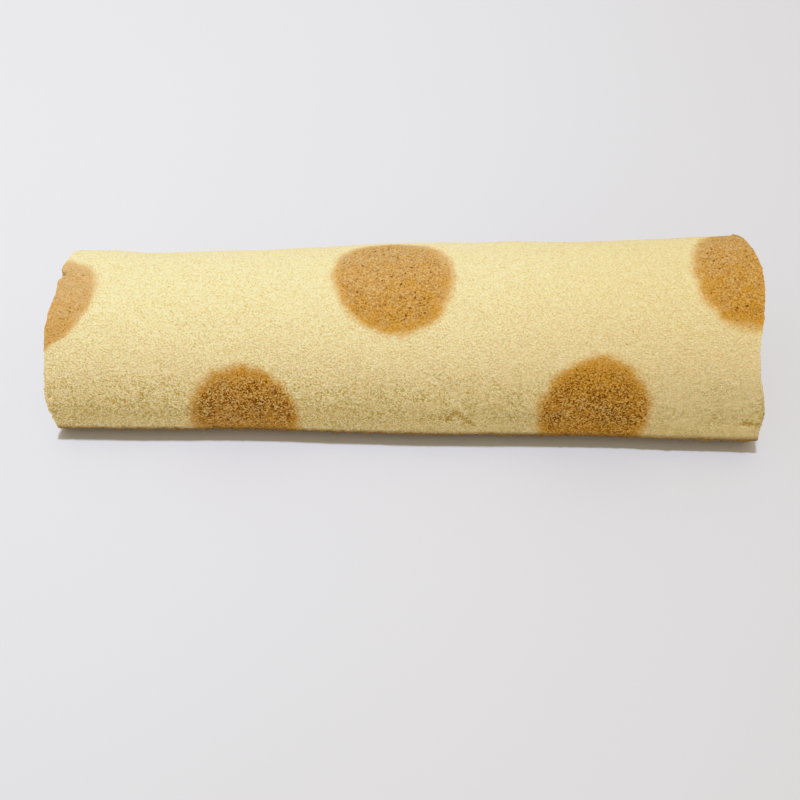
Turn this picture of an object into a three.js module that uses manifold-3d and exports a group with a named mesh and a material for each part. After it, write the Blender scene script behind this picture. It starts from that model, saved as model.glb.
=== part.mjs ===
// A swiss roll cake: a whole log of rolled sponge sheet that rests on its own flattened base.
// Millimetres. +X runs along the roll, -Y is its front and +Z is up. The origin is at the bottom
// centre of the roll's bounding box.
import * as THREE from "three";
import { LoftGeometry } from "three/addons/geometries/LoftGeometry.js";
import { mergeVertices } from "three/addons/utils/BufferGeometryUtils.js";
import Module from "manifold-3d";

const wasm = await Module();
wasm.setup();

// The log. Its section is a rounded crown over a squarer foot that its weight has pressed flat.
const LENGTH = 278.5; // between the middles of the two cut ends
const HALF_WIDTH = 37.6; // at the widest level, before the taper
const HEIGHT = 63.1; // before the taper
const SHOULDER = 20.8; // height of the widest level
const CROWN_POWER = 2.05; // 2 is an ellipse, and more is squarer
const FOOT_POWER = 5.0;
const SINK = 0.6; // how much of the foot's curve is pressed away into the flat base
const MEAN_RADIUS = (HALF_WIDTH + HEIGHT / 2) / 2;
const TAPER = 0.07; // share by which each end is larger (right) or smaller (left) than the middle
const RIPPLE = 0.0156; // two soft swells along the length, as a share of the section
const SAG = 0.0054; // one slow swell, thicker at the ends

// The cut ends. Each was sliced by hand, a little out of square and a little wavy.
const LEFT_CUT = { slantY: 4.95, slantZ: 0.44, wave: 0.6, lobes: 3, phase: 8 };
const RIGHT_CUT = { slantY: 0, slantZ: -1.62, wave: 1.3, lobes: 4, phase: 16 };
const PUFF = 0.5; // how far the cut sponge springs out at the core

// The rolled sheet shows at both ends as a spiral joint, and underneath as its closing seam.
const SHEET = 12.4; // thickness of the sheet, one turn's step inwards
const TURNS = 2.3;
const TUCK = 0.3; // share of the first turn in which the joint dives under the sheet's outer edge
const TUCK_EASE = 0.15; // how much longer that dive gets with each turn inwards
const LEAD = 0.02; // share of a turn by which the joint starts outside the base, to open there
const CORE_HEIGHT = 30; // level that the spiral winds round
const JOINT_WIDTH = 1.7;
const JOINT_DEPTH = 1.6;
const JOINT_TIP = 0.25; // share of the joint's width that is left at its tip in the core
const JOINT_NARROWING = 0.25; // share of the joint over which it narrows to that tip
const SEAM_Y = 15; // where the sheet's outer edge lies under the roll
const SEAM_WIDTH = 2.2;
const SEAM_DEPTH = 1.1;

// How finely the surfaces are divided.
const OUTLINE_SAMPLES = 720;
const SIDES = 60;
const STEPS = 36;
const CUT_RINGS = [0.1, 0.4, 0.7, 1]; // shares of the section, from the core to the rim
const JOINT_STEPS_PER_TURN = 26;
const WELD = 1e-4;

const spongeMaterial = new THREE.MeshStandardMaterial({
  name: "sponge",
  color: "#f0dea9",
  roughness: 0.95,
  metalness: 0,
});

// A point of the section, as (Y, Z). turn runs from 0 to 1: from the middle of the base round the
// back, over the top and down the front.
function sectionPoint(turn, footPower = FOOT_POWER) {
  const angle = (turn - 0.25) * 2 * Math.PI;
  const across = Math.cos(angle);
  const up = Math.sin(angle);
  const power = 2 / (up >= 0 ? CROWN_POWER : footPower);
  const reach = up >= 0 ? HEIGHT - SHOULDER : -(SHOULDER + SINK);
  const y = HALF_WIDTH * Math.sign(across) * Math.abs(across) ** power;
  const z = SHOULDER + reach * Math.abs(up) ** power;
  return new THREE.Vector2(y, Math.max(z, 0));
}

// The closed section as evenly spaced points.
function sectionOutline() {
  const fine = [];
  for (let i = 0; i <= OUTLINE_SAMPLES; i++) {
    fine.push(sectionPoint(i / OUTLINE_SAMPLES));
  }
  const spaced = new THREE.Path(fine).getSpacedPoints(SIDES);
  spaced.pop();
  return spaced;
}

// The section's scale at x: the taper, the two soft swells and the slow one.
function swell(x) {
  const along = x / (LENGTH / 2);
  return (
    1 +
    TAPER * along +
    RIPPLE * Math.cos(2 * Math.PI * (along + 1)) +
    SAG * Math.cos(Math.PI * (along + 1))
  );
}

// How far a cut end stands off its mean plane, at (y, z) of the unscaled section. The wave is the
// rim's, and dies out towards the core.
function cutOffset(cut, y, z) {
  const middle = HEIGHT / 2;
  const across = y / HALF_WIDTH;
  const up = (z - middle) / middle;
  const lobe = cut.lobes * (Math.atan2(-y, z - middle) - THREE.MathUtils.degToRad(cut.phase));
  const outwards = Math.min(1, across ** 2 + up ** 2);
  return cut.slantY * across + cut.slantZ * up + cut.wave * outwards * Math.cos(lobe);
}

// Carries a straight shape to the log's own form. Each vertex comes in as (section Y, section Z,
// distance from the left end), which is how ExtrudeGeometry lays out a section and its depth.
function toLog(geometry) {
  const position = geometry.getAttribute("position");
  for (let i = 0; i < position.count; i++) {
    const y = position.getX(i);
    const z = position.getY(i);
    const along = position.getZ(i) / LENGTH;
    const left = -LENGTH / 2 + cutOffset(LEFT_CUT, y, z);
    const right = LENGTH / 2 + cutOffset(RIGHT_CUT, y, z);
    const x = THREE.MathUtils.lerp(left, right, along);
    const scale = swell(THREE.MathUtils.clamp(x, -LENGTH / 2, LENGTH / 2));
    position.setXYZ(i, x, y * scale, z * scale);
  }
  return geometry;
}

function toSolid(geometry) {
  const bare = new THREE.BufferGeometry();
  bare.setAttribute("position", geometry.getAttribute("position"));
  bare.setIndex(geometry.getIndex());
  const merged = mergeVertices(bare, WELD);
  return new wasm.Manifold(
    new wasm.Mesh({
      numProp: 3,
      vertProperties: merged.getAttribute("position").array,
      triVerts: new Uint32Array(merged.index.array),
    }),
  );
}

function toGeometry(solid) {
  const mesh = solid.getMesh();
  const geometry = new THREE.BufferGeometry();
  geometry.setAttribute("position", new THREE.BufferAttribute(mesh.vertProperties, 3));
  geometry.setIndex(new THREE.BufferAttribute(mesh.triVerts, 1));
  geometry.computeVertexNormals();
  return geometry;
}

// The whole log: rings that widen over the left cut, run along the roll and close over the right.
// On the cuts they are rounder towards the core.
function log() {
  const outline = sectionOutline();
  const core = new THREE.Vector2(0, CORE_HEIGHT);
  const ring = (distance, share) =>
    outline.map((rim) => {
      const spoke = rim.clone().sub(core);
      const round = spoke.clone().setLength(MEAN_RADIUS);
      const point = round.lerp(spoke, share).multiplyScalar(share).add(core);
      return new THREE.Vector3(point.x, point.y, distance);
    });
  const puff = (share) => PUFF * (1 - share ** 2);
  const leftCut = CUT_RINGS.map((share) => ring(-puff(share), share));
  const rightCut = CUT_RINGS.map((share) => ring(LENGTH + puff(share), share)).reverse();
  const body = [];
  for (let i = 1; i < STEPS; i++) {
    body.push(ring((i / STEPS) * LENGTH, 1));
  }
  const rings = [...leftCut, ...body, ...rightCut];
  return toLog(new LoftGeometry(rings, { capStart: true, capEnd: true }));
}

// How deep under the outside the joint lies, some turns in from the seam. It dives by one sheet
// just past the sheet's outer edge and then keeps level until it comes round there again.
function jointDepth(turnsIn) {
  const whole = Math.max(0, Math.floor(turnsIn));
  const dive = Math.min(1, (turnsIn - whole) / (TUCK + TUCK_EASE * whole));
  return SHEET * (whole + Math.sin((dive * Math.PI) / 2));
}

// The line between the rolled layers, as (Y, Z). It leaves the outside at the seam under the roll
// and winds inwards by one sheet a turn, each turn rounder than the one outside it.
function jointPoint(turnsIn) {
  const inwards = 1 - jointDepth(turnsIn) / MEAN_RADIUS;
  const footPower = THREE.MathUtils.lerp(2, FOOT_POWER, THREE.MathUtils.clamp(inwards, 0, 1));
  const point = sectionPoint((seamTurn() + turnsIn) % 1, footPower);
  const core = new THREE.Vector2(0, CORE_HEIGHT);
  return core.lerp(point, inwards);
}

// The place round the section, as a turn, where the base reaches SEAM_Y.
function seamTurn() {
  let turn = 0;
  while (sectionPoint(turn).x < SEAM_Y) {
    turn += 1 / OUTLINE_SAMPLES;
  }
  return turn;
}

// The spiral as a ribbon of the joint's width that narrows towards the core.
function jointShape() {
  const steps = Math.round(TURNS * JOINT_STEPS_PER_TURN);
  const outside = [];
  const inside = [];
  for (let i = 0; i <= steps; i++) {
    const turnsIn = THREE.MathUtils.lerp(-LEAD, TURNS, i / steps);
    const here = jointPoint(turnsIn);
    const ahead = jointPoint(turnsIn + 0.5 / JOINT_STEPS_PER_TURN);
    const along = ahead.sub(here).normalize();
    const fromTip = Math.min(1, (1 - i / steps) / JOINT_NARROWING);
    const half = (JOINT_WIDTH / 2) * THREE.MathUtils.lerp(JOINT_TIP, 1, fromTip);
    const side = new THREE.Vector2(-along.y, along.x).multiplyScalar(half);
    outside.push(here.clone().sub(side));
    inside.push(here.clone().add(side));
  }
  return new THREE.Shape([...outside, ...inside.reverse()]);
}

// A cutter for the joint at one end. atShare is 0 for the left end and 1 for the right one.
function jointCutter(atShare) {
  const geometry = new THREE.ExtrudeGeometry(jointShape(), {
    depth: 2 * JOINT_DEPTH,
    steps: 1,
    bevelEnabled: false,
  });
  geometry.translate(0, 0, atShare * LENGTH - JOINT_DEPTH);
  return toLog(geometry);
}

// A shallow V along the base, where the sheet's outer edge is tucked under. It runs out past both
// ends.
function seamCutter() {
  const past = 2 * JOINT_DEPTH;
  const section = new THREE.Shape([
    new THREE.Vector2(SEAM_Y - SEAM_WIDTH / 2, -SEAM_DEPTH),
    new THREE.Vector2(SEAM_Y + SEAM_WIDTH / 2, -SEAM_DEPTH),
    new THREE.Vector2(SEAM_Y, SEAM_DEPTH),
  ]);
  const geometry = new THREE.ExtrudeGeometry(section, {
    depth: LENGTH + 2 * past,
    steps: STEPS,
    bevelEnabled: false,
  });
  geometry.translate(0, 0, -past);
  return toLog(geometry);
}

function spongeRoll() {
  const cutters = [jointCutter(0), jointCutter(1), seamCutter()];
  let solid = toSolid(log());
  for (const cutter of cutters) {
    solid = solid.subtract(toSolid(cutter));
  }
  const geometry = toGeometry(solid);
  geometry.computeBoundingBox();
  const box = geometry.boundingBox;
  const middle = box.getCenter(new THREE.Vector3());
  geometry.translate(-middle.x, -middle.y, -box.min.z);
  const mesh = new THREE.Mesh(geometry, spongeMaterial);
  mesh.name = "sponge_roll";
  return mesh;
}

const cake = new THREE.Group();
cake.name = "swiss_roll_cake";
cake.add(spongeRoll());

export default cake;
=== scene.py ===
import math

import bpy
from bpy.props import FloatProperty, FloatVectorProperty, IntProperty, PointerProperty
from mathutils import Matrix, Vector


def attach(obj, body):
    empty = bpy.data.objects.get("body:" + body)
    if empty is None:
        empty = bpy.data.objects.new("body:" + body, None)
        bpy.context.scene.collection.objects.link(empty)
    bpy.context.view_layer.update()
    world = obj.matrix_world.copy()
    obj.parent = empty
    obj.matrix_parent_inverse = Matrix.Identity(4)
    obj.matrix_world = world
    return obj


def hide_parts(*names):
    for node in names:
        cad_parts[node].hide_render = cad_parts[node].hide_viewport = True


bl_info = {
    "name": "Swiss Roll Cake",
    "version": (1, 0, 0),
    "blender": (4, 5, 0),
    "location": "3D View > Sidebar > Cake",
    "description": "A whole rolled sponge cake with soft toffee-brown dots, and its stage",
    "category": "Add Mesh",
}

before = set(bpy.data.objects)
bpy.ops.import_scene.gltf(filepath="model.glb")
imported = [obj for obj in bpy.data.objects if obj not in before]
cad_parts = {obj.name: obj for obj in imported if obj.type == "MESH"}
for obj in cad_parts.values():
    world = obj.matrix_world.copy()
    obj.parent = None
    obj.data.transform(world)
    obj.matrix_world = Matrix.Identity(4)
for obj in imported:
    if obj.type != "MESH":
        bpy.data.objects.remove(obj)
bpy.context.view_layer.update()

ROLL = "sponge_roll"  # the solid that the finished roll stands for
MM = 0.001
TO_MM = 1000.0
FULL_TURN = 2 * math.pi

MATH = "ShaderNodeMath"
VECTOR = "ShaderNodeVectorMath"
RANGE = "ShaderNodeMapRange"  # input 0 from 1 to 2 gives 3 to 4; a pair not set is 0 and 1
MIX = "ShaderNodeMix"  # input 0 is the share; 4 and 5 are the two vectors, 6 and 7 the two colours
SPLIT = "ShaderNodeSeparateXYZ"
COMBINE = "ShaderNodeCombineXYZ"
NOISE = "ShaderNodeTexNoise"
CELLS = "ShaderNodeTexVoronoi"
OBJECT = "GeometryNodeObjectInfo"
STORE = "GeometryNodeStoreNamedAttribute"
PLACE = "GeometryNodeSetPosition"
SHADE = "GeometryNodeSetShadeSmooth"
SMOOTH = {"interpolation_type": "SMOOTHSTEP"}  # for a range with soft ends
NODES_A_ROW, NODE_WIDTH, NODE_HEIGHT = 14, 220, 280  # how a tree is laid out in the editor

# Where the dots lie on the unrolled sheet: the place along the roll and the way round from the
# crown (towards the front is positive), half the width and height, all in millimetres, and how far
# the dot is turned, in degrees.
DOTS = [
    (-3.4, 2.1, 23.5, 25.6, -36),
    (137.9, -2.7, 24.3, 28.9, 16),
    (-147.6, 12.2, 28.5, 20.4, -36),
    (-64.2, 66.3, 22.5, 27.6, 2),
    (75.9, 62.9, 22.5, 28.3, 10),
    (-62.0, -56.0, 23.6, 26.0, 20),
    (78.0, -57.5, 23.2, 25.6, -15),
    (8.0, 117.0, 23.5, 24.6, 30),
    (148.0, 116.0, 23.0, 25.0, 0),
    (-137.0, 116.5, 23.4, 24.2, 0),
]

# Small creases in the skin near the foot, as lines on the unrolled sheet in millimetres.
CREASES = [
    [(17.2, 67.5), (21.4, 62.0), (25.5, 66.5), (28.6, 70.0)],
    [(135.4, 67.0), (140.2, 67.8)],
]

# Soft dents and swells: the place on the unrolled sheet, its reach both ways, and the rise of the
# skin, all in millimetres.
DENTS = [
    ((-101.0, -31.0), (24.0, 18.0), -1.1),
    ((48.0, -28.0), (24.0, 20.0), 0.5),
    ((114.0, -31.0), (36.0, 22.0), -0.8),
    ((133.0, -27.0), (20.0, 20.0), -0.8),
    ((150.0, 60.0), (95.0, 22.0), -1.5),
    ((-90.0, 60.0), (75.0, 22.0), 0.7),
    ((139.5, -33.0), (10.0, 15.0), -0.5),
]

# Where the cut rims were nicked, pulled or rubbed off: the place on the unrolled sheet, its reach
# both ways, and the push along the roll, all in millimetres.
RIM_MARKS = [
    ((-137.0, -1.2), (6.0, 3.2), 2.6),
    ((-141.0, -20.0), (10.0, 14.0), 0.9),
    ((-141.0, 8.0), (8.0, 9.0), 0.9),
    ((-143.0, 37.0), (8.0, 14.0), 0.5),
    ((-143.0, 58.0), (8.0, 12.0), -0.7),
    ((138.0, -34.0), (24.0, 28.0), -6.0),
    ((138.0, -10.0), (14.0, 12.0), -0.8),
    ((140.0, 24.0), (8.0, 8.0), 0.5),
    ((140.0, 62.0), (8.0, 17.0), 1.9),
    ((140.0, 77.0), (6.0, 5.0), 1.2),
]


# ----------------------------------------------------------
# What a user would change
# ----------------------------------------------------------


def length(name, description, millimetres):
    return FloatProperty(
        name=name, description=description, default=millimetres * MM, unit="LENGTH", precision=5
    )


def share(name, description, default):
    return FloatProperty(name=name, description=description, default=default, precision=4)


def angle(name, description, degrees):
    return FloatProperty(
        name=name, description=description, default=math.radians(degrees), subtype="ANGLE"
    )


def count(name, description, default):
    return IntProperty(name=name, description=description, default=default)


def colour(name, description, hexcode):
    return FloatVectorProperty(
        name=name, description=description, default=linear(hexcode), subtype="COLOR", size=4,
        min=0, max=1,
    )


def linear(hexcode):
    """An sRGB hex colour as a linear RGBA tuple."""
    channels = [int(hexcode[i : i + 2], 16) / 255 for i in (1, 3, 5)]
    return tuple(
        c / 12.92 if c <= 0.04045 else ((c + 0.055) / 1.055) ** 2.4 for c in channels
    ) + (1.0,)


class RollSizes(bpy.types.PropertyGroup):
    """The log that the sheet is rolled into."""

    length: length("Length", "Between the middles of the two cut ends", 278.5)
    half_width: length("Half Width", "Half the width at the widest level", 37.6)
    height: length("Height", "Height of the crown in the middle of the roll", 63.1)
    shoulder: length("Shoulder", "Height of the widest level", 20.8)
    crown_power: share("Crown Power", "Roundness of the crown; 2 is an ellipse", 2.05)
    foot_power: share("Foot Power", "Squareness of the foot; 2 is an ellipse", 5.0)
    sink: length("Sink", "How much of the foot's curve is pressed away into the base", 0.6)
    taper: share("Taper", "Share by which the right end is larger than the middle", 0.07)
    ripple: share("Ripple", "Two soft swells along the roll", 0.0156)
    sag: share("Sag", "One slow swell, thicker at the ends", 0.0054)
    left_slant_across: length("Left Slant Across", "Left cut out of square, front to back", 4.95)
    left_slant_up: length("Left Slant Up", "Left cut out of square, bottom to top", 0.44)
    left_wave: length("Left Wave", "Waviness of the left cut's rim", 0.6)
    left_lobes: count("Left Lobes", "Waves round the left rim", 3)
    left_phase: angle("Left Phase", "Where the left rim's waves start", 8)
    right_slant_across: length("Right Slant Across", "Right cut out of square, front to back", 0)
    right_slant_up: length("Right Slant Up", "Right cut out of square, bottom to top", -1.62)
    right_wave: length("Right Wave", "Waviness of the right cut's rim", 1.3)
    right_lobes: count("Right Lobes", "Waves round the right rim", 4)
    right_phase: angle("Right Phase", "Where the right rim's waves start", 16)
    puff: length("Puff", "How far the cut sponge springs out at the core", 0.5)
    core_height: length("Core Height", "Level that the rolled sheet winds round", 30)
    sheet: length("Sheet", "Thickness of the rolled sheet", 12.4)
    turns: share("Turns", "How often the sheet goes round", 2.3)
    joint_width: length("Joint Width", "Width of the joint between the turns at the ends", 1.7)
    joint_depth: length("Joint Depth", "Depth of that joint", 1.6)
    seam_y: length("Seam", "Where the sheet's outer edge lies under the roll", 15)
    seam_width: length("Seam Width", "Width of the fold at that edge", 4.0)
    seam_depth: length("Seam Depth", "Depth of the fold at that edge", 1.1)


class CrumbRelief(bpy.types.PropertyGroup):
    """How uneven the sponge is, and how finely its mesh is divided."""

    rows: count("Rows", "Divisions round the roll", 212)
    columns: count("Columns", "Divisions along the roll", 345)
    rings: count("Rings", "Divisions across a cut end", 54)
    seed: share("Seed", "Shifts every pattern of the crumb", 3.7)
    lumps: length("Lumps", "Slow unevenness of the surface", 0.45)
    grain: length("Grain", "Fine unevenness of the crown", 0.16)
    crumb: length("Crumb", "Depth of the open crumb near the foot and on the cuts", 0.5)
    ragged: length("Ragged", "Unevenness of the cut rims", 1.5)


class CakeColours(bpy.types.PropertyGroup):
    """Colours of the sponge, the dots and the table."""

    sponge: colour("Sponge", "Cream walls of the butter-yellow sponge", "#FFEBBA")
    # Pore: partly the crumb's own colour, partly painted shade in its hollows and low on the sides.
    pore_and_shade: colour("Pore", "The deeper yellow in its hollows", "#C8AA50")
    # Wall: painted glints, where the thinnest walls catch the light.
    wall_glint: colour("Wall", "The thinnest walls between its cells", "#FFEDA0")
    # Crease: painted shade along the skin's creases.
    crease: colour("Crease", "Bare yellow sponge where the skin is torn or creased", "#B8942E")
    dot: colour("Dot", "Toffee-brown dots", "#D6B078")
    # Dot Rim: partly the batter's own colour, partly painted shade low down and towards the right
    # end.
    dot_rim: colour("Dot Rim", "The deeper brown low down and towards the right end", "#D79D38")
    # Dot Pore: partly the pores' own colour, partly painted shade in them.
    dot_pore_and_shade: colour("Dot Pore", "The dark inside of a dot's pores", "#784400")
    # Skin: the baked skin along the joint, and the painted shade of the dark line under the foot.
    skin: colour("Skin", "The baked skin between the turns and under the foot", "#84602C")
    table: colour("Table", "Pale matt table top", "#D5D6DF")


class StageSettings(bpy.types.PropertyGroup):
    """The light and the table."""

    lamp: share("Lamp", "Strength of the lamp straight above", 1.51)
    lamp_spread: angle("Lamp Spread", "Apparent size of that lamp", 3)
    pool: share("Pool", "Strength of the pool of light round the left end", 1.34)
    sky: share("Sky", "Strength of the soft warm light from all round", 0.56)
    table_size: length("Table Size", "Side of the table top", 12000)


# ----------------------------------------------------------
# Objects and node trees
# ----------------------------------------------------------


def stand(name, data):
    """A new object in the scene, at the origin."""
    thing = bpy.data.objects.new(name, data)
    bpy.context.scene.collection.objects.link(thing)
    return thing


def add(tree, kind, inputs=None, **settings):
    """Adds a node with its settings and links. An input is a value, a socket or a node, and a node
    stands for the first of its outputs that is in use."""
    node = tree.nodes.new(kind)
    row, column = divmod(len(tree.nodes), NODES_A_ROW)
    node.location = (NODE_WIDTH * column, -NODE_HEIGHT * row)
    for name, value in settings.items():
        setattr(node, name, value)
    for key, value in (inputs or {}).items():
        if isinstance(value, bpy.types.Node):
            value = next(output for output in value.outputs if output.enabled)
        if isinstance(value, bpy.types.NodeSocket):
            tree.links.new(value, node.inputs[key])
        else:
            node.inputs[key].default_value = value
    return node


def open_tree(name, inputs, outputs):
    """A geometry node tree with these named sockets, its input node and its output node."""
    tree = bpy.data.node_groups.new(name, "GeometryNodeTree")
    for direction, sockets in (("INPUT", inputs), ("OUTPUT", outputs)):
        for socket_name, kind in sockets.items():
            tree.interface.new_socket(socket_name, in_out=direction, socket_type=kind)
    return tree, add(tree, "NodeGroupInput"), add(tree, "NodeGroupOutput")


def open_material(name, finish):
    """A material, its tree and its shader, with the finish set on the shader's own sockets."""
    material = bpy.data.materials.new(name)
    material.use_nodes = True
    shader = material.node_tree.nodes["Principled BSDF"]
    for socket, value in finish.items():
        shader.inputs[socket].default_value = value
    return material, material.node_tree, shader


def own_properties(group):
    return [p for p in group.bl_rna.properties if p.identifier in group.__annotations__]


def socket_kinds(group):
    """{name: socket type} of a property group's sizes, for a tree's interface."""
    kinds = {"FLOAT": "NodeSocketFloat", "INT": "NodeSocketInt"}
    return {p.name: kinds[p.type] for p in own_properties(group)}


def values_of(settings):
    """{name: value} of a property group's sizes, for a modifier's inputs."""
    return {p.name: getattr(settings, p.identifier) for p in own_properties(type(settings))}


def grown(name, tree, values):
    """What the tree makes, as an object with a plain mesh and no modifier."""
    seedling = stand(name + "_seedling", bpy.data.meshes.new(name))
    modifier = seedling.modifiers.new(tree.name, "NODES")
    modifier.node_group = tree
    for item in tree.interface.items_tree:
        if item.in_out == "INPUT" and item.name in values:
            modifier[item.identifier] = values[item.name]
    depsgraph = bpy.context.evaluated_depsgraph_get()
    mesh = bpy.data.meshes.new_from_object(
        seedling.evaluated_get(depsgraph), preserve_all_data_layers=True, depsgraph=depsgraph
    )
    bpy.data.objects.remove(seedling)
    if not mesh.polygons:
        raise RuntimeError(f"{tree.name} made nothing")
    mesh.name = name
    return stand(name, mesh)


def stored(tree, mesh, values, kind="FLOAT"):
    """The mesh with these values kept on its points, under their names."""
    for name, value in values.items():
        mesh = add(tree, STORE, {"Geometry": mesh, "Name": name, "Value": value}, data_type=kind)
    return mesh


def distance_to(tree, lines, place):
    """How far a place is from the nearest of these lines."""
    inputs = {"Geometry": lines, "Sample Position": place}
    return add(tree, "GeometryNodeProximity", inputs, target_element="EDGES").outputs["Distance"]


def unevenness(tree, rest, width, detail):
    """Noise about 0, mostly within 0.3 of it, with lumps of this width in millimetres."""
    noise = add(tree, NOISE, {"Vector": rest, "Scale": 1 / width, "Detail": detail})
    return add(tree, MATH, {0: noise, 1: 0.5}, operation="SUBTRACT")


# ----------------------------------------------------------
# The roll
# ----------------------------------------------------------

OUTLINE_SAMPLES = 720
JOINT_SAMPLES = 240
TUCK = 0.3  # share of the first turn in which the joint dives under the sheet's outer edge
TUCK_EASE = 0.15  # how much longer that dive gets with each turn inwards
LEAD = 0.02  # share of a turn by which the joint starts outside the base, to open there


def section_point(sizes, turn, foot_power):
    """A point of the section. turn runs from the middle of the base round the back and the top."""
    bearing = (turn - 0.25) * FULL_TURN
    across, up = math.cos(bearing), math.sin(bearing)
    power = 2 / (sizes.crown_power if up >= 0 else foot_power)
    reach = sizes.height - sizes.shoulder if up >= 0 else -(sizes.shoulder + sizes.sink)
    y = sizes.half_width * math.copysign(abs(across) ** power, across)
    return Vector((0, y, max(sizes.shoulder + reach * abs(up) ** power, 0)))


def mean_radius(sizes):
    return (sizes.half_width + sizes.height / 2) / 2


def joint_point(sizes, seam_turn, turns_in):
    """Where the joint between the rolled turns lies. It leaves the outside at the seam under the
    roll, dives by one sheet and then winds inwards by one sheet a turn, rounder with each."""
    whole = max(0, math.floor(turns_in))
    dive = min(1, (turns_in - whole) / (TUCK + TUCK_EASE * whole))
    depth = sizes.sheet * (whole + math.sin(dive * math.pi / 2))
    inwards = 1 - depth / mean_radius(sizes)
    foot_power = 2 + (sizes.foot_power - 2) * min(max(inwards, 0), 1)
    core = Vector((0, 0, sizes.core_height))
    return core.lerp(section_point(sizes, (seam_turn + turns_in) % 1, foot_power), inwards)


def line(name, points, closed=False):
    """A line for a tree to follow."""
    curve = bpy.data.curves.new(name, "CURVE")
    curve.dimensions = "3D"
    spline = curve.splines.new("POLY")
    spline.points.add(len(points) - 1)
    for spot, point in zip(spline.points, points):
        spot.co = (*point, 1)
    spline.use_cyclic_u = closed
    return stand(name, curve)


def marks(name, points, lines=()):
    """Points and lines on the unrolled sheet."""
    mesh = bpy.data.meshes.new(name)
    mesh.from_pydata(points, lines, [])
    return stand(name, mesh)


def dot_marks(girth):
    """The dots' centres, repeated where the sheet closes, with half their size and their turn."""
    centres, axes = [], []
    for x, way_round, half_width, half_height, turned in DOTS:
        for lap in (-girth, 0, girth):
            centres.append((x, way_round + lap, 0))
            axes.append((half_width, half_height, math.radians(turned)))
    centre_marks = marks("dot_marks", centres)
    half_axes = centre_marks.data.attributes.new("half_axes", "FLOAT_VECTOR", "POINT")
    for spot, axis in zip(half_axes.data, axes):
        spot.vector = axis
    return centre_marks


def crease_marks():
    """The creases as lines."""
    points, lines = [], []
    for crease in CREASES:
        first = len(points)
        points += [(x, way_round, 0) for x, way_round in crease]
        lines += [(first + i, first + i + 1) for i in range(len(crease) - 1)]
    return marks("crease_marks", points, lines)


CUT_SIZES = ("Slant Across", "Slant Up", "Wave", "Lobes", "Phase")  # each end has its own
SECTION_SIZES = ("Half Width", "Height")


def cut_tree():
    """How far a hand-cut end stands off its mean plane, at a point of the section."""
    kinds = {"Point": "NodeSocketVector"}
    kinds |= dict.fromkeys(CUT_SIZES + SECTION_SIZES, "NodeSocketFloat")
    tree, given, result = open_tree("Cut End", kinds, {"Offset": "NodeSocketFloat"})
    g = given.outputs
    point = add(tree, SPLIT, {0: g["Point"]})
    middle = add(tree, MATH, {0: g["Height"], 1: 0.5}, operation="MULTIPLY")
    above = add(tree, MATH, {0: point.outputs[2], 1: middle}, operation="SUBTRACT")
    across = add(tree, MATH, {0: point.outputs[1], 1: g["Half Width"]}, operation="DIVIDE")
    up = add(tree, MATH, {0: above, 1: middle}, operation="DIVIDE")
    front = add(tree, MATH, {0: point.outputs[1], 1: -1.0}, operation="MULTIPLY")
    bearing = add(tree, MATH, {0: front, 1: above}, operation="ARCTAN2")
    from_phase = add(tree, MATH, {0: bearing, 1: g["Phase"]}, operation="SUBTRACT")
    lobe = add(tree, MATH, {0: from_phase, 1: g["Lobes"]}, operation="MULTIPLY")
    up_squared = add(tree, MATH, {0: up, 1: up}, operation="MULTIPLY")
    outwards = add(tree, MATH, {0: across, 1: across, 2: up_squared}, operation="MULTIPLY_ADD")
    held = add(tree, MATH, {0: outwards, 1: 1.0}, operation="MINIMUM")
    offset = add(tree, MATH, {0: lobe}, operation="COSINE")
    for size in (held, g["Wave"]):
        offset = add(tree, MATH, {0: offset, 1: size}, operation="MULTIPLY")
    for lean, size in ((up, "Slant Up"), (across, "Slant Across")):
        offset = add(tree, MATH, {0: lean, 1: g[size], 2: offset}, operation="MULTIPLY_ADD")
    tree.links.new(offset.outputs[0], result.inputs["Offset"])
    return tree


ROW_EASE = (0.35, 0.4)  # rows lie closest on the sides, where the crumb is open


def log_kinds():
    """The inputs that the log takes, alone and as part of the finished roll."""
    kinds = dict.fromkeys(("Section", "Joint"), "NodeSocketObject")
    kinds["Mean Radius"] = "NodeSocketFloat"
    return kinds | socket_kinds(RollSizes) | socket_kinds(CrumbRelief)


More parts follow.
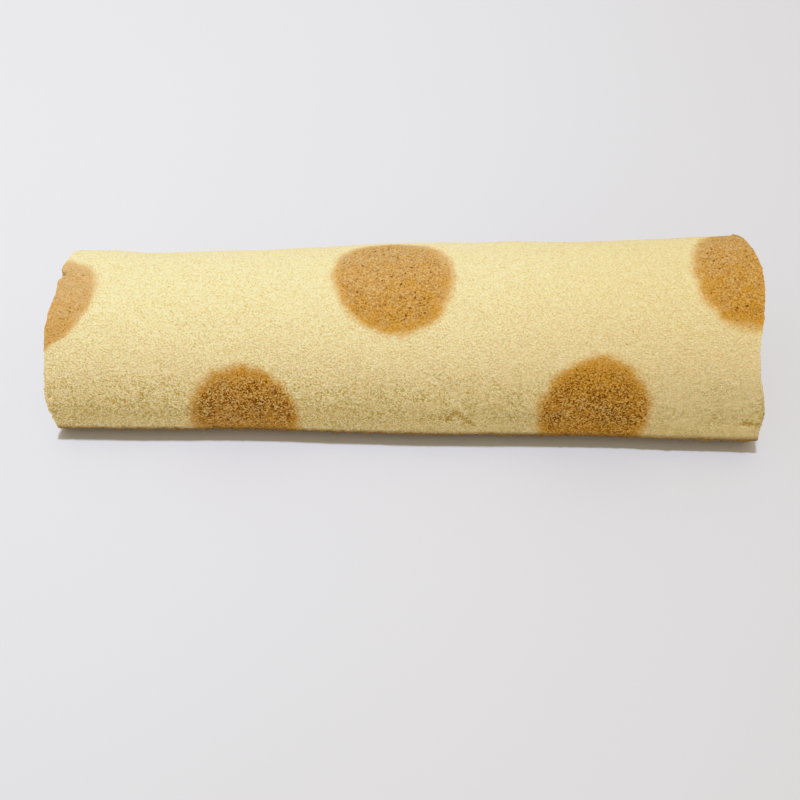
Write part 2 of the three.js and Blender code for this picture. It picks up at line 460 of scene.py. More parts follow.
def log_tree():
    """The smooth log: a cylinder's points carried to the section, the cuts and the taper."""
    tree, given, result = open_tree(
        "Rolled Log", log_kinds(), {"Geometry": "NodeSocketGeometry"}
    )
    g = given.outputs
    section = add(tree, OBJECT, {0: g["Section"]}).outputs["Geometry"]
    joint = add(tree, OBJECT, {0: g["Joint"]}).outputs["Geometry"]
    sizes = {0: g["Rows"], 1: g["Columns"], 2: g["Rings"], 3: 1.0, 4: 1.0}
    cylinder = add(tree, "GeometryNodeMeshCylinder", sizes, fill_type="TRIANGLE_FAN")
    place = add(tree, "GeometryNodeInputPosition")
    x, y, z = add(tree, SPLIT, {0: place}).outputs
    bearing = add(tree, MATH, {0: y, 1: x}, operation="ARCTAN2")
    wrapped = add(tree, MATH, {0: bearing, 1: FULL_TURN}, operation="DIVIDE")
    even = add(tree, MATH, {0: wrapped}, operation="FRACT")
    turn = even
    for waves, ease in enumerate(ROW_EASE, 1):
        phase = add(tree, MATH, {0: even, 1: FULL_TURN * waves}, operation="MULTIPLY")
        swing = add(tree, MATH, {0: phase}, operation="SINE")
        step = ease / (FULL_TURN * waves)
        turn = add(tree, MATH, {0: swing, 1: step, 2: turn}, operation="MULTIPLY_ADD")
    along = add(tree, MATH, {0: z, 1: 0.5}, operation="ADD")
    flat = add(tree, VECTOR, {0: place, 1: (1, 1, 0)}, operation="MULTIPLY")
    reach = add(tree, VECTOR, {0: flat}, operation="LENGTH")
    out = add(tree, MATH, {0: reach, 1: 1.0}, operation="MINIMUM")

    # The point of the section, rounder towards the core.
    rim = add(tree, "GeometryNodeSampleCurve", {"Curves": section, "Factor": turn})
    rim = rim.outputs["Position"]
    core = add(tree, COMBINE, {2: g["Core Height"]})
    spoke = add(tree, VECTOR, {0: rim, 1: core}, operation="SUBTRACT")
    unit = add(tree, VECTOR, {0: spoke}, operation="NORMALIZE")
    ring = add(tree, VECTOR, {0: unit, "Scale": g["Mean Radius"]}, operation="SCALE")
    form = add(tree, MIX, {0: out, 4: ring, 5: spoke}, data_type="VECTOR")
    scaled = add(tree, VECTOR, {0: form, "Scale": out}, operation="SCALE")
    point = add(tree, VECTOR, {0: scaled, 1: core}, operation="ADD")
    inside = add(tree, VECTOR, {0: rim, 1: point}, operation="DISTANCE")
    inside = add(tree, MATH, {0: inside, 1: TO_MM}, operation="MULTIPLY")

    # How far along, with the core sprung out at both cuts.
    side = add(tree, MATH, {0: z}, operation="SIGN")
    out_squared = add(tree, MATH, {0: out, 1: out}, operation="MULTIPLY")
    hollow = add(tree, MATH, {0: 1.0, 1: out_squared}, operation="SUBTRACT")
    puff = add(tree, MATH, {0: hollow, 1: g["Puff"]}, operation="MULTIPLY")
    distance = add(tree, MATH, {0: along, 1: g["Length"]}, operation="MULTIPLY")
    distance = add(tree, MATH, {0: side, 1: puff, 2: distance}, operation="MULTIPLY_ADD")
    fraction = add(tree, MATH, {0: distance, 1: g["Length"]}, operation="DIVIDE")
    cut = cut_tree()
    half = add(tree, MATH, {0: g["Length"], 1: 0.5}, operation="MULTIPLY")
    ends = []
    for name, sign in (("Left", -1.0), ("Right", 1.0)):
        inputs = {size: g[f"{name} {size}"] for size in CUT_SIZES}
        inputs |= {size: g[size] for size in SECTION_SIZES} | {"Point": point}
        offset = add(tree, "GeometryNodeGroup", inputs, node_tree=cut)
        ends.append(add(tree, MATH, {0: half, 1: sign, 2: offset}, operation="MULTIPLY_ADD"))
    span = add(tree, MATH, {0: ends[1], 1: ends[0]}, operation="SUBTRACT")
    x = add(tree, MATH, {0: fraction, 1: span, 2: ends[0]}, operation="MULTIPLY_ADD")

    # The taper and the swells.
    u = add(tree, MATH, {0: x, 1: half}, operation="DIVIDE")
    u = add(tree, MATH, {0: u, 1: -1.0}, operation="MAXIMUM")
    u = add(tree, MATH, {0: u, 1: 1.0}, operation="MINIMUM")
    scale = add(tree, MATH, {0: u, 1: g["Taper"], 2: 1.0}, operation="MULTIPLY_ADD")
    from_left = add(tree, MATH, {0: u, 1: 1.0}, operation="ADD")
    for size, waves in (("Ripple", 2), ("Sag", 1)):
        phase = add(tree, MATH, {0: from_left, 1: math.pi * waves}, operation="MULTIPLY")
        swing = add(tree, MATH, {0: phase}, operation="COSINE")
        scale = add(tree, MATH, {0: swing, 1: g[size], 2: scale}, operation="MULTIPLY_ADD")
    swollen = add(tree, VECTOR, {0: point, "Scale": scale}, operation="SCALE")
    only_x = add(tree, COMBINE, {0: x})
    final = add(tree, VECTOR, {0: swollen, 1: only_x}, operation="ADD")

    # What the relief and the colours need to know, kept on the points.
    joint_line = add(tree, "GeometryNodeCurveToMesh", {0: joint})
    to_joint = distance_to(tree, joint_line, point)
    to_joint = add(tree, MATH, {0: to_joint, 1: TO_MM}, operation="MULTIPLY")
    girth = add(tree, "GeometryNodeCurveLength", {0: section})
    way_round = add(tree, MATH, {0: turn, 1: 0.5}, operation="SUBTRACT")
    for size in (girth, TO_MM):
        way_round = add(tree, MATH, {0: way_round, 1: size}, operation="MULTIPLY")
    kept = {"way_round": way_round, "inside": inside, "joint": to_joint, "along": along}
    mesh = stored(tree, cylinder, kept)
    inputs = {"Geometry": mesh, "Name": "OFBake", "Value": bake_map(tree, cylinder, place)}
    mesh = add(tree, STORE, inputs, data_type="FLOAT2", domain="CORNER")
    mesh = add(tree, PLACE, {"Geometry": mesh, "Position": final})

    # Centred over its own footprint, as the solid is.
    box = add(tree, "GeometryNodeBoundBox", {0: mesh})
    middle = add(tree, VECTOR, {0: box.outputs["Min"], 1: box.outputs["Max"]}, operation="ADD")
    middle = add(tree, VECTOR, {0: middle, 1: (-0.5, -0.5, 0)}, operation="MULTIPLY")
    lowest = add(tree, VECTOR, {0: box.outputs["Min"], 1: (0, 0, -1)}, operation="MULTIPLY")
    shift = add(tree, VECTOR, {0: middle, 1: lowest}, operation="ADD")
    mesh = add(tree, PLACE, {"Geometry": mesh, "Offset": shift})
    tree.links.new(mesh.outputs[0], result.inputs[0])
    return tree


def bake_map(tree, cylinder, place):
    """An even map of the whole surface: the side in the lower part, the two cuts above it."""
    side_height, cut_radius, gap = 0.74, 0.118, 0.01
    uv = add(tree, SPLIT, {0: cylinder.outputs["UV Map"]})
    # The cylinder's own map has the side in its lower half and is a whole turn wide.
    v = add(tree, MATH, {0: uv.outputs[0], 1: side_height}, operation="MULTIPLY")
    u = add(tree, MATH, {0: uv.outputs[1], 1: 2.0}, operation="MULTIPLY")
    laid_out = add(tree, COMBINE, {0: u, 1: v})
    for end, middle in (("Top", 0.75), ("Bottom", 0.25)):
        disc = add(tree, VECTOR, {0: place, "Scale": cut_radius}, operation="SCALE")
        spot = (middle, side_height + gap + cut_radius, 0)
        disc = add(tree, VECTOR, {0: disc, 1: spot}, operation="ADD")
        choice = {0: cylinder.outputs[end], 4: laid_out, 5: disc}
        laid_out = add(tree, MIX, choice, data_type="VECTOR")
    return laid_out


CRUMB_CELL, FINE_CELL = 1.6, 0.7  # widths of the crumb's cells, in millimetres
HEM, FRAY = 74.0, 2.4  # where the foot turns under, and the width of its frays, in millimetres
STIR_WIDTH, STIR_REACH = 1.3, 1.5  # of what bends the cells' walls, as shares of a cell


def crumb_level(tree, rest, width):
    """How high the crumb stands at a place given in millimetres: about 0.3 on the walls of its
    cells and -0.3 in their hollows. The walls wander, as a whisked batter's bubbles do."""
    stir = add(tree, NOISE, {"Vector": rest, "Scale": 1 / (STIR_WIDTH * width), "Detail": 1.0})
    away = add(tree, VECTOR, {0: stir.outputs["Color"], 1: (-0.5,) * 3}, operation="ADD")
    reach = (STIR_REACH * width,) * 3
    stirred = add(tree, VECTOR, {0: away, 1: reach, 2: rest}, operation="MULTIPLY_ADD")
    level = unevenness(tree, stirred, width, 1.0)
    return add(tree, MATH, {0: level, 1: 1.7}, operation="MULTIPLY")


def swelling(tree, on_sheet, spot, reach, most):
    """A smooth swelling in metres round a spot of the unrolled sheet; all given in millimetres."""
    gap = add(tree, VECTOR, {0: on_sheet, 1: (*spot, 0)}, operation="SUBTRACT")
    gap = add(tree, VECTOR, {0: gap, 1: (*reach, 1)}, operation="DIVIDE")
    gap = add(tree, VECTOR, {0: gap}, operation="LENGTH")
    return add(tree, RANGE, {0: gap, 3: most * MM, 4: 0.0}, **SMOOTH)


def dot_distance(tree, dots, on_sheet, place):
    """How far outside the nearest dot a place of the sheet is, in millimetres; negative inside."""
    dots = add(tree, OBJECT, {0: dots}).outputs["Geometry"]
    inputs = {"Geometry": dots, "Sample Position": on_sheet}
    nearest = add(tree, "GeometryNodeSampleNearest", inputs, domain="POINT")
    half_axes = add(
        tree, "GeometryNodeInputNamedAttribute", {0: "half_axes"}, data_type="FLOAT_VECTOR"
    )
    centre, axes = (
        add(
            tree, "GeometryNodeSampleIndex", {"Geometry": dots, "Value": value, "Index": nearest},
            data_type="FLOAT_VECTOR",
        )
        for value in (place, half_axes)
    )
    half_width, half_height, turned = add(tree, SPLIT, {0: axes}).outputs
    from_dot = add(tree, VECTOR, {0: on_sheet, 1: centre}, operation="SUBTRACT")
    squared_up = add(
        tree, "ShaderNodeVectorRotate", {"Vector": from_dot, "Angle": turned},
        rotation_type="Z_AXIS", invert=True,
    )
    half_size = add(tree, COMBINE, {0: half_width, 1: half_height, 2: 1.0})
    in_dots = add(tree, VECTOR, {0: squared_up, 1: half_size}, operation="DIVIDE")
    in_dots = add(tree, VECTOR, {0: in_dots}, operation="LENGTH")
    past = add(tree, MATH, {0: in_dots, 1: 1.0}, operation="SUBTRACT")
    return add(tree, MATH, {0: past, 1: half_width}, operation="MULTIPLY")


def crust_tree():
    """The finished roll: the log with its dots marked, its crumb raised and its skin creased."""
    kinds = dict.fromkeys(("Dots", "Creases"), "NodeSocketObject")
    kinds |= {"Material": "NodeSocketMaterial"} | log_kinds()
    tree, given, result = open_tree("Swiss Roll", kinds, {"Geometry": "NodeSocketGeometry"})
    g = given.outputs
    log = add(tree, "GeometryNodeGroup", node_tree=log_tree())
    for socket in log.inputs:
        tree.links.new(g[socket.name], socket)
    way_round, inside, joint, along = (
        add(tree, "GeometryNodeInputNamedAttribute", {0: name})
        for name in ("way_round", "inside", "joint", "along")
    )
    place = add(tree, "GeometryNodeInputPosition")
    mm = add(tree, VECTOR, {0: place, "Scale": TO_MM}, operation="SCALE")
    x, y, z = add(tree, SPLIT, {0: mm}).outputs
    on_sheet = add(tree, COMBINE, {0: x, 1: way_round})

    # Where the crumb is open: low on the sides and on the cuts, but not on the pressed foot.
    off_crown = add(tree, MATH, {0: way_round}, operation="ABSOLUTE")
    opening = add(tree, RANGE, {0: off_crown, 1: 34.0, 2: 60.0, 3: 0.08, 4: 1.0}, **SMOOTH)
    pressed = add(tree, RANGE, {0: off_crown, 1: 64.0, 2: 72.0, 3: 1.0, 4: 0.5}, **SMOOTH)
    on_side = add(tree, MATH, {0: opening, 1: pressed}, operation="MULTIPLY")
    on_cut = add(tree, RANGE, {0: inside, 1: 0.2, 2: 1.2, 3: 0.0, 4: 0.55})
    openness = add(tree, MATH, {0: on_side, 1: on_cut}, operation="MAXIMUM")

    # The relief in metres, outwards along the surface. The crumb's patterns are drawn on the smooth
    # log, and the colours read the same place, so a hollow and its shade stay together.
    rest = add(tree, VECTOR, {0: mm, 1: g["Seed"]}, operation="ADD")
    relief = crumb_level(tree, rest, CRUMB_CELL)
    for size in (openness, g["Crumb"]):
        relief = add(tree, MATH, {0: relief, 1: size}, operation="MULTIPLY")
    for width, detail, size in ((22, 1.0, "Lumps"), (2.6, 2.0, "Grain")):
        level = unevenness(tree, rest, width, detail)
        level = add(tree, MATH, {0: level, 1: 2.0}, operation="MULTIPLY")
        relief = add(tree, MATH, {0: level, 1: g[size], 2: relief}, operation="MULTIPLY_ADD")

    # The skin's own dents and creases, which end at the cuts.
    creases = add(tree, OBJECT, {0: g["Creases"]}).outputs["Geometry"]
    to_crease = distance_to(tree, creases, on_sheet)
    dents = add(tree, RANGE, {0: to_crease, 1: 0.2, 2: 1.4, 3: -0.5 * MM, 4: 0.0})
    for mark in DENTS:
        dent = swelling(tree, on_sheet, *mark)
        dents = add(tree, MATH, {0: dents, 1: dent}, operation="ADD")
    on_skin = add(tree, RANGE, {0: inside, 1: 0.0, 2: 6.0, 3: 1.0, 4: 0.0})
    relief = add(tree, MATH, {0: dents, 1: on_skin, 2: relief}, operation="MULTIPLY_ADD")

    # The hem, where the foot turns under, is frayed.
    hem = add(tree, RANGE, {0: off_crown, 1: HEM - 5, 2: HEM, 3: 0.0, 4: 3.2 * MM})
    frays = unevenness(tree, rest, FRAY, 2.0)
    relief = add(tree, MATH, {0: frays, 1: hem, 2: relief}, operation="MULTIPLY_ADD")

    # Nothing is raised where the roll rests.
    off_table = add(tree, RANGE, {0: z, 1: 0.1, 2: 1.6}, **SMOOTH)
    relief = add(tree, MATH, {0: relief, 1: off_table}, operation="MULTIPLY")
    normal = add(tree, "GeometryNodeInputNormal")
    raised = add(tree, VECTOR, {0: normal, "Scale": relief}, operation="SCALE")

    # The joint between the turns, pressed into both cuts. Its edges are rounded off.
    half_joint = add(tree, MATH, {0: g["Joint Width"], 1: TO_MM / 2}, operation="MULTIPLY")
    joint_side = add(tree, MATH, {0: half_joint, 1: 1.5}, operation="MULTIPLY")
    groove = add(tree, RANGE, {0: joint, 1: 0.3, 2: joint_side, 3: 1.0, 4: 0.0}, **SMOOTH)
    cut_only = add(tree, RANGE, {0: inside, 1: 0.0, 2: 0.3})
    for size in (cut_only, g["Joint Depth"]):
        groove = add(tree, MATH, {0: groove, 1: size}, operation="MULTIPLY")

    # The ragged rims, as pushes along the roll, strongest where the crumb is open.
    from_middle = add(tree, MATH, {0: along, 1: 0.5}, operation="SUBTRACT")
    right = add(tree, MATH, {0: from_middle}, operation="SIGN")
    from_middle = add(tree, MATH, {0: from_middle}, operation="ABSOLUTE")
    near_rim = add(tree, RANGE, {0: from_middle, 1: 0.486, 2: 0.5})
    crumbly = add(tree, RANGE, {0: on_side, 3: 0.4, 4: 1.0})
    tear = unevenness(tree, rest, 2.2, 3.0)
    for size in (near_rim, crumbly, g["Ragged"], 2.0):
        tear = add(tree, MATH, {0: tear, 1: size}, operation="MULTIPLY")
    push = add(tree, MATH, {0: tear, 1: groove}, operation="SUBTRACT")
    push = add(tree, MATH, {0: push, 1: right}, operation="MULTIPLY")

    # Where the rims were nicked, pulled or rubbed off. These marks fade out towards the core.
    to_core = add(tree, RANGE, {0: inside, 1: 0.0, 2: 18.0, 3: 1.0, 4: 0.0}, **SMOOTH)
    for mark in RIM_MARKS:
        pull = swelling(tree, on_sheet, *mark)
        push = add(tree, MATH, {0: pull, 1: to_core, 2: push}, operation="MULTIPLY_ADD")
    pushed = add(tree, COMBINE, {0: push})
    offset = add(tree, VECTOR, {0: raised, 1: pushed}, operation="ADD")

    # The closing seam of the sheet, a shallow fold along the base.
    seam = add(tree, MATH, {0: g["Seam"], 1: TO_MM}, operation="MULTIPLY")
    seam_gap = add(tree, MATH, {0: y, 1: seam}, operation="SUBTRACT")
    seam_gap = add(tree, MATH, {0: seam_gap}, operation="ABSOLUTE")
    seam_half = add(tree, MATH, {0: g["Seam Width"], 1: TO_MM / 2}, operation="MULTIPLY")
    fold = add(tree, RANGE, {0: seam_gap, 1: 0.0, 2: seam_half, 3: g["Seam Depth"], 4: 0.0})
    under = add(tree, RANGE, {0: off_crown, 1: 84.0, 2: 90.0})
    fold = add(tree, MATH, {0: fold, 1: under}, operation="MULTIPLY")
    lifted = add(tree, COMBINE, {2: fold})
    offset = add(tree, VECTOR, {0: offset, 1: lifted}, operation="ADD")

    # The crust itself. What would end up under the table is set down on it.
    edge = dot_distance(tree, g["Dots"], on_sheet, place)
    kept = {"dot_edge": edge, "openness": openness, "crease": to_crease, "off_crown": off_crown}
    mesh = stored(tree, log, kept)
    mesh = stored(tree, mesh, {"rest": rest}, "FLOAT_VECTOR")
    mesh = add(tree, PLACE, {"Geometry": mesh, "Offset": offset})
    settled = add(tree, VECTOR, {0: place, 1: (-1, -1, 0)}, operation="MAXIMUM")
    mesh = add(tree, PLACE, {"Geometry": mesh, "Position": settled})

    # It is smooth, apart from the sharp edges where the cuts meet the side.
    at_end = add(tree, MATH, {0: from_middle, 1: 0.4999}, operation="GREATER_THAN")
    on_rim = add(tree, MATH, {0: inside, 1: 0.001}, operation="LESS_THAN")
    rim_edge = add(tree, MATH, {0: at_end, 1: on_rim}, operation="MULTIPLY")
    mesh = add(tree, SHADE, {"Geometry": mesh, "Shade Smooth": True})
    sharp = {"Geometry": mesh, "Selection": rim_edge, "Shade Smooth": False}
    mesh = add(tree, SHADE, sharp, domain="EDGE")
    mesh = add(tree, "GeometryNodeRealizeInstances", {0: mesh})
    mesh = add(tree, "GeometryNodeSetMaterial", {"Geometry": mesh, "Material": g["Material"]})
    tree.links.new(mesh.outputs[0], result.inputs[0])
    return tree


def sponge_material(colours):
    """Baked whisked-egg sponge: matt, pale and full of fine pores that take in the light, so its
    shadows are warm and soft. The dots are coffee batter baked into the same sheet."""
    finish = {
        "Roughness": 0.9,
        "IOR": 1.4,
        "Specular IOR Level": 0.1,
        "Subsurface Weight": 0.35,
        "Subsurface Radius": (1.0, 0.6, 0.3),
        "Subsurface Scale": 2.5 * MM,
    }
    material, tree, shader = open_material("baked_sponge", finish)
    rest = add(tree, "ShaderNodeAttribute", attribute_name="rest").outputs["Vector"]
    names = (
        "openness", "dot_edge", "inside", "joint", "way_round", "off_crown", "along", "crease"
    )
    openness, edge, inside, joint, way_round, off_crown, along, to_crease = (
        add(tree, "ShaderNodeAttribute", attribute_name=name).outputs["Fac"] for name in names
    )

    # The crumb: fine cells everywhere, and larger ones where it is open, deeper in some patches
    # than in others.
    crumb = crumb_level(tree, rest, FINE_CELL)
    larger = crumb_level(tree, rest, CRUMB_CELL)
    larger = add(tree, MATH, {0: larger, 1: openness}, operation="MULTIPLY")
    crumb = add(tree, MATH, {0: larger, 1: 0.4, 2: crumb}, operation="MULTIPLY_ADD")
    patches = unevenness(tree, rest, 6.5, 1.0)
    patches = add(tree, MATH, {0: patches, 1: openness}, operation="MULTIPLY")
    patches = add(tree, MATH, {0: patches, 1: 2.6, 2: 1.0}, operation="MULTIPLY_ADD")
    crumb = add(tree, MATH, {0: crumb, 1: patches}, operation="MULTIPLY")
    mottle = unevenness(tree, rest, 3.6, 3.0)

    # Single burst bubbles, up to 1 mm wide and a few millimetres apart. Not every cell has one.
    bubbles = add(tree, CELLS, {"Vector": rest, "Scale": 1 / 1.9})
    burst = add(tree, RANGE, {0: bubbles, 1: 0.1, 2: 0.36, 3: 1.0, 4: 0.0}, **SMOOTH)
    lot = add(tree, SPLIT, {0: bubbles.outputs["Color"]})
    some = add(tree, RANGE, {0: lot, 1: 0.25, 2: 1.0})
    burst = add(tree, MATH, {0: burst, 1: some}, operation="MULTIPLY")

    # The dots' soft edges, feathered where the two batters run together. A dot goes only a few
    # millimetres into the sheet.
    for width, reach in ((6.0, 3.0), (1.1, 2.6)):
        run = unevenness(tree, rest, width, 1.0)
        edge = add(tree, MATH, {0: run, 1: reach, 2: edge}, operation="MULTIPLY_ADD")
    dot = add(tree, RANGE, {0: edge, 1: -2.4, 2: 2.1, 3: 1.0, 4: 0.0}, **SMOOTH)
    dyed = add(tree, RANGE, {0: inside, 1: 2.4, 2: 3.6, 3: 1.0, 4: 0.0})
    dot = add(tree, MATH, {0: dot, 1: dyed}, operation="MULTIPLY")

    # The pale sponge: cream walls, and yellow in the hollows, which are deeper low down. The
    # yellow is partly the crumb's own grain and partly painted shade: in the hollows, in the burst
    # bubbles and on the lower sides, which turn away from the light. Towards its right end the
    # sheet is closer and a little deeper in colour: partly its own colour, partly painted shade
    # as the light falls off towards that end.
    opened = add(tree, RANGE, {0: along, 1: 0.6, 2: 0.9, 3: 1.0, 4: 0.55})
    opened = add(tree, MATH, {0: opened, 1: openness}, operation="MULTIPLY")
    usual = add(tree, RANGE, {0: opened, 3: 0.2, 4: 0.44})
    gain = add(tree, RANGE, {0: opened, 3: -0.92, 4: -2.1})
    closer = add(tree, RANGE, {0: along, 1: 0.3, 2: 1.0, 3: 1.1, 4: 0.65})
    gain = add(tree, MATH, {0: gain, 1: closer}, operation="MULTIPLY")
    yellow = add(tree, MATH, {0: crumb, 1: gain, 2: usual}, operation="MULTIPLY_ADD")
    # Partly painted shade: a little deeper in colour towards the right end, partly the sheet's own
    # colour and partly standing for the light falling off there.
    deeper = add(tree, RANGE, {0: along, 1: 0.6, 2: 0.85})
    closed = add(tree, MATH, {0: 1.0, 1: openness}, operation="SUBTRACT")
    deeper = add(tree, MATH, {0: deeper, 1: closed}, operation="MULTIPLY")
    # Painted shade: darker towards the foot, where the side turns under, away from the light.
    painted_foot_shade = add(tree, RANGE, {0: off_crown, 1: 56.0, 2: 70.0})
    for part, weight in ((mottle, 0.2), (burst, 0.1), (deeper, 0.13), (painted_foot_shade, 0.14)):
        yellow = add(tree, MATH, {0: part, 1: weight, 2: yellow}, operation="MULTIPLY_ADD")
    yellow.use_clamp = True
    sponge = add(tree, MIX, {0: yellow, 6: colours.sponge, 7: colours.pore_and_shade}, data_type="RGBA")
    # Painted shade in the creases: the skin along them is a darker ochre, but not on the cuts.
    to_crease = add(tree, MATH, {0: crumb, 1: 2.0, 2: to_crease}, operation="MULTIPLY_ADD")
    crease = add(tree, RANGE, {0: to_crease, 1: 0.3, 2: 1.5, 3: 0.85, 4: 0.0})
    outside = add(tree, RANGE, {0: inside, 1: 0.4, 2: 1.6, 3: 1.0, 4: 0.0})
    crease = add(tree, MATH, {0: crease, 1: outside}, operation="MULTIPLY")
    sponge = add(tree, MIX, {0: crease, 6: sponge, 7: colours.crease}, data_type="RGBA")

    # The brown sponge: deeper where it is mottled, low down, at the back and towards the right end.
    # Low down and at the back this is partly its own colour, partly painted shade away from the
    # crown, where the light falls; towards the right end, partly painted shade as the light falls
    # off. Its walls are lighter and its hollows richer, partly the crumb's grain and partly painted
    # glint and shade. The dot at the left end is fainter.
    low = add(tree, RANGE, {0: way_round, 1: -8.0, 2: 30.0, 3: -0.45, 4: 0.2})
    at_back = add(tree, RANGE, {0: off_crown, 1: 30.0, 2: 60.0, 3: -0.45, 4: 0.2})
    rich = add(tree, MATH, {0: low, 1: at_back}, operation="MAXIMUM")
    full = add(tree, RANGE, {0: along, 1: 0.0, 2: 0.3, 3: 0.5, 4: 1.0})
    thin = add(tree, MATH, {0: openness, 1: 0.4}, operation="MAXIMUM")
    thin = add(tree, MATH, {0: crumb, 1: thin}, operation="MULTIPLY")
    for part, weight in ((along, 0.35), (full, 0.54), (mottle, 1.3), (thin, -1.4)):
        rich = add(tree, MATH, {0: part, 1: weight, 2: rich}, operation="MULTIPLY_ADD")
    rich.use_clamp = True
    brown = add(tree, MIX, {0: rich, 6: colours.dot, 7: colours.dot_rim}, data_type="RGBA")

    # Its pores are dark, most where the crumb is open and least in a dot's thin edge: partly their
    # own colour, partly painted shade in them and in the burst bubbles.
    usual = add(tree, RANGE, {0: openness, 3: 0.2, 4: 0.38})
    gain = add(tree, RANGE, {0: openness, 3: -0.95, 4: -2.8})
    dark = add(tree, MATH, {0: crumb, 1: gain, 2: usual}, operation="MULTIPLY_ADD")
    dark = add(tree, MATH, {0: burst, 1: 0.95, 2: dark}, operation="MULTIPLY_ADD")
    thick = add(tree, RANGE, {0: edge, 1: -4.8, 2: -0.8, 3: 1.0, 4: 0.3})
    for part in (full, thick):
        dark = add(tree, MATH, {0: dark, 1: part}, operation="MULTIPLY")
    dark.use_clamp = True
    brown = add(tree, MIX, {0: dark, 6: brown, 7: colours.dot_pore_and_shade}, data_type="RGBA")
    base = add(tree, MIX, {0: dot, 6: sponge, 7: brown}, data_type="RGBA")

    # Painted glints: the thin walls between the cells are painted lighter where they catch the
    # light, most where the crumb is open.
    paler = add(tree, RANGE, {0: crumb, 1: 0.1, 2: 0.4})
    where_open = add(tree, RANGE, {0: openness, 3: 0.04, 4: 0.45})
    paler = add(tree, MATH, {0: paler, 1: where_open}, operation="MULTIPLY")
    base = add(tree, MIX, {0: paler, 6: base, 7: colours.wall_glint}, data_type="RGBA")

    # The baked skin shows along the joint at the cuts. Where the foot turns under, a frayed dark
    # brown line in the skin's colour is painted shade along the base.
    cut = add(tree, RANGE, {0: inside, 1: 0.1, 2: 0.6})
    skin = add(tree, RANGE, {0: joint, 1: 0.4, 2: 1.1, 3: 0.6, 4: 0.0})
    skin = add(tree, MATH, {0: skin, 1: cut}, operation="MULTIPLY")
    frays = unevenness(tree, rest, FRAY, 2.0)
    off_crown = add(tree, MATH, {0: frays, 1: 5.0, 2: off_crown}, operation="MULTIPLY_ADD")
    foot = add(tree, RANGE, {0: off_crown, 1: HEM, 2: HEM + 3.5, 3: 0.0, 4: 0.9})
    foot = add(tree, MATH, {0: foot, 1: outside}, operation="MULTIPLY")
    skin = add(tree, MATH, {0: skin, 1: foot}, operation="MAXIMUM")
    base = add(tree, MIX, {0: skin, 6: base, 7: colours.skin}, data_type="RGBA")
    tree.links.new(base.outputs[2], shader.inputs["Base Color"])

    # The cells' own depth, in metres.
    height = add(tree, MATH, {0: crumb, 1: 0.4 * MM}, operation="MULTIPLY")
    height = add(tree, MATH, {0: burst, 1: -0.2 * MM, 2: height}, operation="MULTIPLY_ADD")
    bump = add(tree, "ShaderNodeBump", {"Height": height, "Distance": 1.0, "Strength": 1.0})
    tree.links.new(bump.outputs[0], shader.inputs["Normal"])
    return material


class CAKE_OT_roll(bpy.types.Operator):
    """Roll the dotted sponge into its log, with its crumb, its cuts and its joint"""

    bl_idname = "cake.roll"
    bl_label = "Roll the Sponge"

    def execute(self, context):
        sizes = context.scene.cake_sizes
        relief = context.scene.cake_relief
        turns = [i / OUTLINE_SAMPLES for i in range(OUTLINE_SAMPLES)]
        section = [section_point(sizes, turn, sizes.foot_power) for turn in turns]
        girth = sum((a - b).length for a, b in zip(section, section[1:] + section[:1]))
        seam_turn = next(turn for turn, p in zip(turns, section) if p.y >= sizes.seam_y)
        steps = [i / JOINT_SAMPLES for i in range(JOINT_SAMPLES + 1)]
        turns_in = [-LEAD + (sizes.turns + LEAD) * step for step in steps]
        joint = [joint_point(sizes, seam_turn, turn) for turn in turns_in]
        guides = {
            "Section": line("section_line", section, closed=True),
            "Joint": line("joint_line", joint),
            "Dots": dot_marks(girth * TO_MM),
            "Creases": crease_marks(),
        }
        values = values_of(sizes) | values_of(relief) | guides
        values["Mean Radius"] = mean_radius(sizes)
        values["Material"] = sponge_material(context.scene.cake_colours)
        piece = grown("dotted_sponge", crust_tree(), values)
        for thing in guides.values():
            bpy.data.objects.remove(thing)
        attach(piece, "root")
        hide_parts(ROLL)
        return {"FINISHED"}


# ----------------------------------------------------------
# The stage
# ----------------------------------------------------------

# In metres. The camera stands over the front of the roll, a little right of its middle.
CAMERA_PLACE = (0.0272, -0.4270, 0.5294)
CAMERA_YAW, CAMERA_PITCH, CAMERA_ROLL = (math.radians(a) for a in (-4.09, 52.01, -2.92))
CAMERA_LENS, CAMERA_SENSOR = 72, 36  # in millimetres

# Both lamps hang so high that their light falls straight down.
LAMP_PLACE, POOL_PLACE = Vector((0.0, 0.2, 10.0)), Vector((-0.3, 0.1, 10.0))
POOL_MIDDLE, POOL_RADIUS = Vector((-0.25, 0.15, 0.0)), 0.55
LAMP_TINT, SKY_TINT = (0.784, 0.865, 1.0), (1.15, 1.0, 0.7, 1.0)  # linear
# The camera's own softening of the brightest tones: linear light in, and what it gives.
TONE_CURVE = [(0, 0), (0.55, 0.55), (0.84, 0.8), (1.1, 0.93), (1.5, 1.0)]


def table_material(colours):
    """Matt laminate table top: even, pale and a little cool, with a faint soft sheen."""
    finish = {"Roughness": 0.55, "Specular IOR Level": 0.25}
    material, tree, shader = open_material("matt_laminate", finish)
    coordinates = add(tree, "ShaderNodeTexCoord").outputs["Object"]
    # Faint clouds, about a third of a metre wide.
    cloud = add(tree, NOISE, {"Vector": coordinates, "Scale": 3.0, "Detail": 2.0})
    tone = add(tree, RANGE, {0: cloud, 1: 0.3, 2: 0.7, 3: 0.98, 4: 1.0})
    tint = tuple(colours.table)[:3]
    tinted = add(tree, VECTOR, {0: tint, "Scale": tone}, operation="SCALE")
    tree.links.new(tinted.outputs[0], shader.inputs["Base Color"])
    return material


def soften_highlights(view):
    """The brightest tones close up gently instead of clipping, as they do on film."""
    view.view_transform = "Standard"
    view.use_curve_mapping = True
    mapping = view.curve_mapping
    brightest = TONE_CURVE[-1][0]
    mapping.white_level = (brightest,) * 3
    curve = mapping.curves[3]  # the one for all channels together
    for light, tone in TONE_CURVE[1:-1]:
        curve.points.new(light / brightest, tone)
    mapping.update()


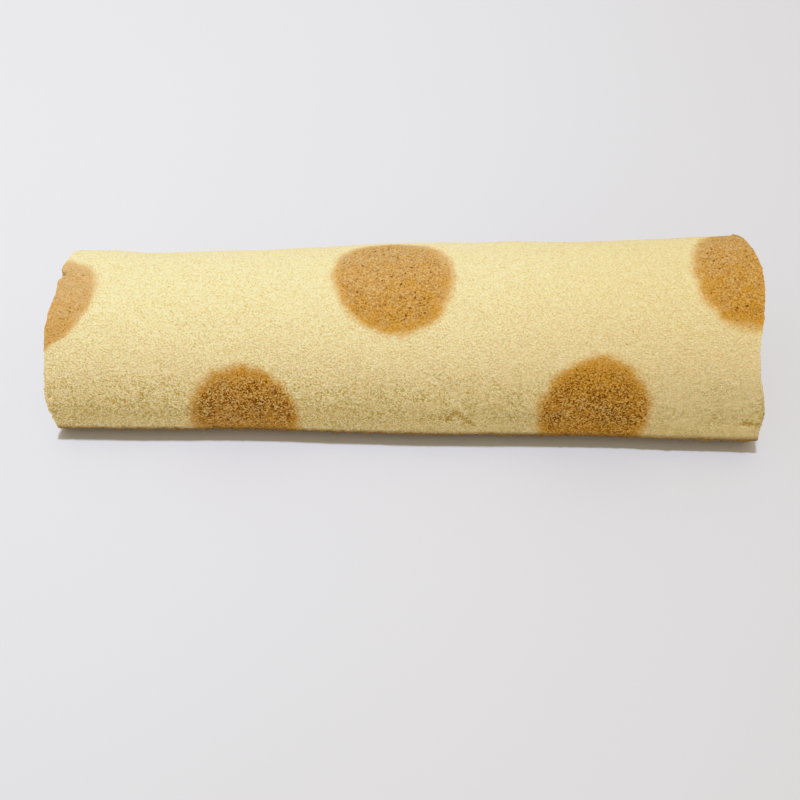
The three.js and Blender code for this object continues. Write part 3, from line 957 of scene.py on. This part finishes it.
class CAKE_OT_stage(bpy.types.Operator):
    """Lay the pale table, hang the soft light above it and set up the camera"""

    bl_idname = "cake.stage"
    bl_label = "Lay the Stage"

    def execute(self, context):
        settings = context.scene.cake_stage
        half = settings.table_size / 2
        mesh = bpy.data.meshes.new("table_top")
        corners = [(-half, -half, 0), (half, -half, 0), (half, half, 0), (-half, half, 0)]
        mesh.from_pydata(corners, [], [(0, 1, 2, 3)])
        mesh.materials.append(table_material(context.scene.cake_colours))
        table = stand("table_top", mesh)

        lamp = bpy.data.lights.new("ceiling_lamp", "SUN")
        lamp.energy = settings.lamp
        lamp.angle = settings.lamp_spread
        pool = bpy.data.lights.new("ceiling_pool", "SPOT")
        reach = (POOL_PLACE - POOL_MIDDLE).length
        pool.energy = settings.pool * 4 * math.pi * reach**2
        pool.shadow_soft_size = reach * math.tan(settings.lamp_spread / 2)
        pool.spot_size = 2 * math.atan(POOL_RADIUS / reach)
        pool.spot_blend = 1.0
        for light, place, aim in (
            (lamp, LAMP_PLACE, Vector()), (pool, POOL_PLACE, POOL_MIDDLE)
        ):
            light.color = LAMP_TINT
            hung = stand(light.name, light)
            hung.rotation_euler = (place - aim).to_track_quat("Z", "Y").to_euler()
            hung.location = place

        world = bpy.data.worlds.new("soft_room")
        world.use_nodes = True
        sky = world.node_tree.nodes["Background"]
        sky.inputs["Color"].default_value = SKY_TINT
        sky.inputs["Strength"].default_value = settings.sky
        context.scene.world = world
        soften_highlights(context.scene.view_settings)

        data = bpy.data.cameras.new("camera")
        data.lens = CAMERA_LENS
        data.sensor_width = CAMERA_SENSOR
        camera = stand("camera", data)
        flat = Vector((math.sin(CAMERA_YAW), math.cos(CAMERA_YAW), 0))
        ahead = flat * math.cos(CAMERA_PITCH) - Vector((0, 0, math.sin(CAMERA_PITCH)))
        level = Vector((math.cos(CAMERA_YAW), -math.sin(CAMERA_YAW), 0))
        upright = level.cross(ahead)
        turn, tilt = math.cos(CAMERA_ROLL), math.sin(CAMERA_ROLL)
        right = level * turn + upright * tilt
        up = upright * turn - level * tilt
        rows = zip(right, up, -ahead, CAMERA_PLACE)
        camera.matrix_world = Matrix([list(row) for row in rows] + [[0, 0, 0, 1]])
        context.scene.camera = camera
        return {"FINISHED"}


class CAKE_PT_panel(bpy.types.Panel):
    """Lists the cake's pieces in the order they are made"""

    bl_idname = "CAKE_PT_panel"
    bl_label = "Swiss Roll Cake"
    bl_space_type = "VIEW_3D"
    bl_region_type = "UI"
    bl_category = "Cake"

    def draw(self, context):
        for operator, settings in STEPS.items():
            box = self.layout.box()
            box.operator(operator)
            for name in settings:
                group = getattr(context.scene, name)
                for prop in own_properties(type(group)):
                    box.prop(group, prop.identifier)


GROUPS = {
    "cake_sizes": RollSizes,
    "cake_relief": CrumbRelief,
    "cake_colours": CakeColours,
    "cake_stage": StageSettings,
}
STEPS = {
    "cake.roll": ("cake_sizes", "cake_relief", "cake_colours"),
    "cake.stage": ("cake_stage",),
}
CLASSES = (*GROUPS.values(), CAKE_OT_roll, CAKE_OT_stage, CAKE_PT_panel)


def register():
    for cls in CLASSES:
        bpy.utils.register_class(cls)
    for name, group in GROUPS.items():
        setattr(bpy.types.Scene, name, PointerProperty(type=group))


def unregister():
    for name in GROUPS:
        delattr(bpy.types.Scene, name)
    for cls in reversed(CLASSES):
        bpy.utils.unregister_class(cls)


def main():
    register()
    bpy.ops.cake.roll()
    bpy.ops.cake.stage()


if __name__ == "__main__":
    main()
